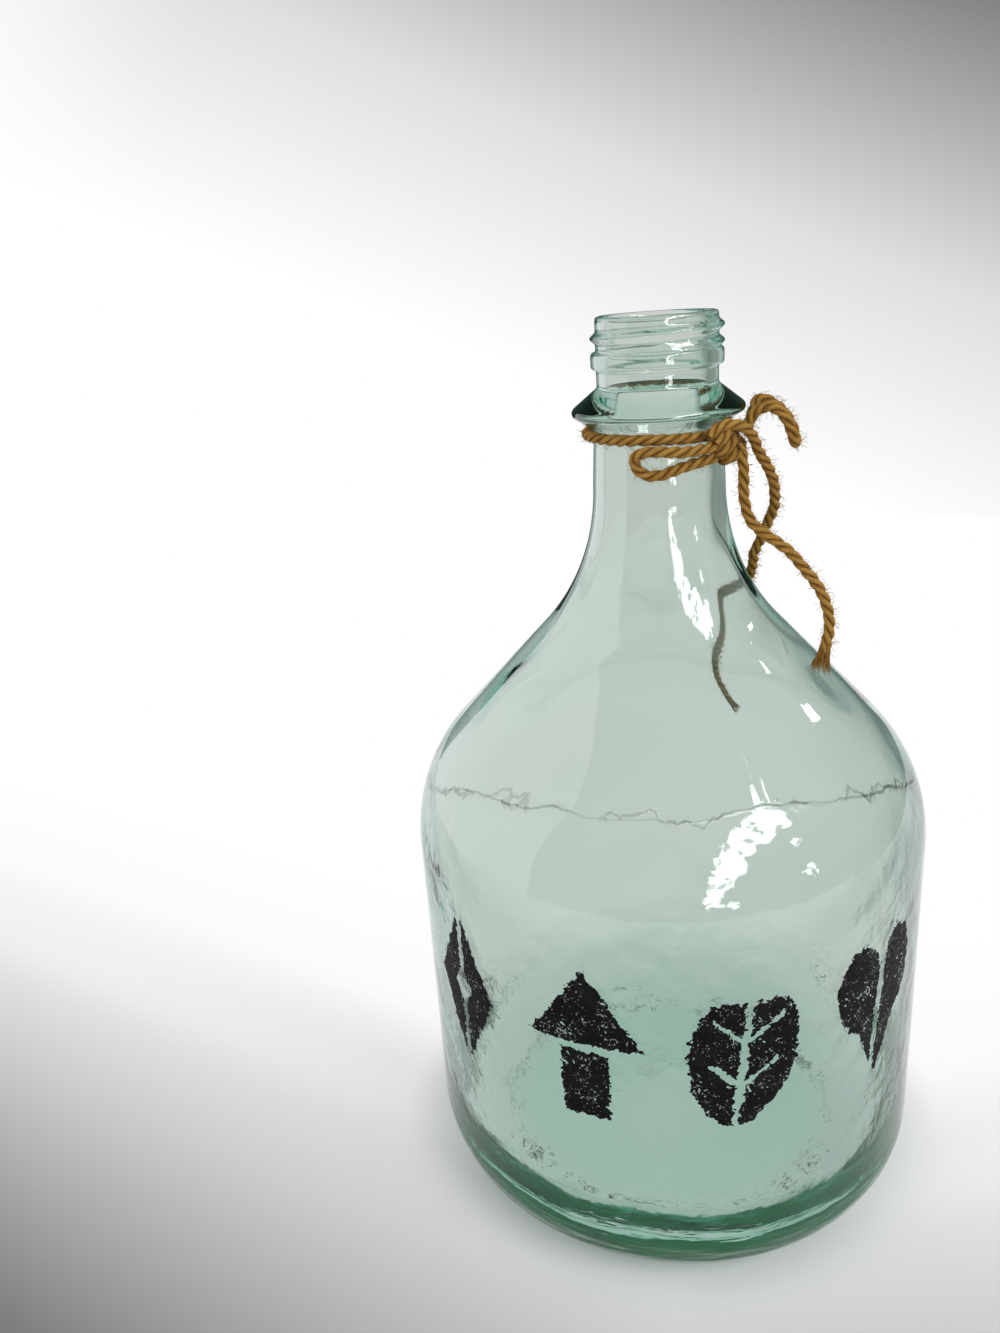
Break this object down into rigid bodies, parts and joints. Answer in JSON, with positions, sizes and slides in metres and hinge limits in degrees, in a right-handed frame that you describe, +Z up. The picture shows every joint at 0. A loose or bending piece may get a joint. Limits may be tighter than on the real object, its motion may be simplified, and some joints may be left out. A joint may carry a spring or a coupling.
{
  "type": "glass coin bank jug",
  "caption": "Clear green-tinted glass jug used as a coin bank: open threaded mouth, collared narrow neck, sloping shoulders, thick base, and jute twine tied in a bow round the neck.",
  "frame": {"origin": "centre of the foot, on the surface that the jug stands on", "axes": "+Z up the jug's axis to the mouth; -Y is the front, where the marks are painted; +X is the jug's right in the picture"},
  "size_m": [0.16, 0.16, 0.277],
  "materials": {
    "moulded_glass": "clear pale green recycled glass, moulded, slightly wavy",
    "jute_twine": "rough brown jute, three plies, fuzzy"
  },
  "bodies": {
    "jug": {"glass_jug": "moulded_glass"},
    "twine": {"twine_neck_wrap": "jute_twine", "bow_knot": "jute_twine", "bow_loop_front": "jute_twine", "bow_loop_side": "jute_twine", "tail_long": "jute_twine", "tail_back": "jute_twine"}
  },
  "joints": [
    {"name": "twine_turn", "type": "hinge", "parent": "jug", "child": "twine", "pos_m": [0, 0, 0.2448], "axis": [0, 0, 1], "continuous": true}
  ]
}
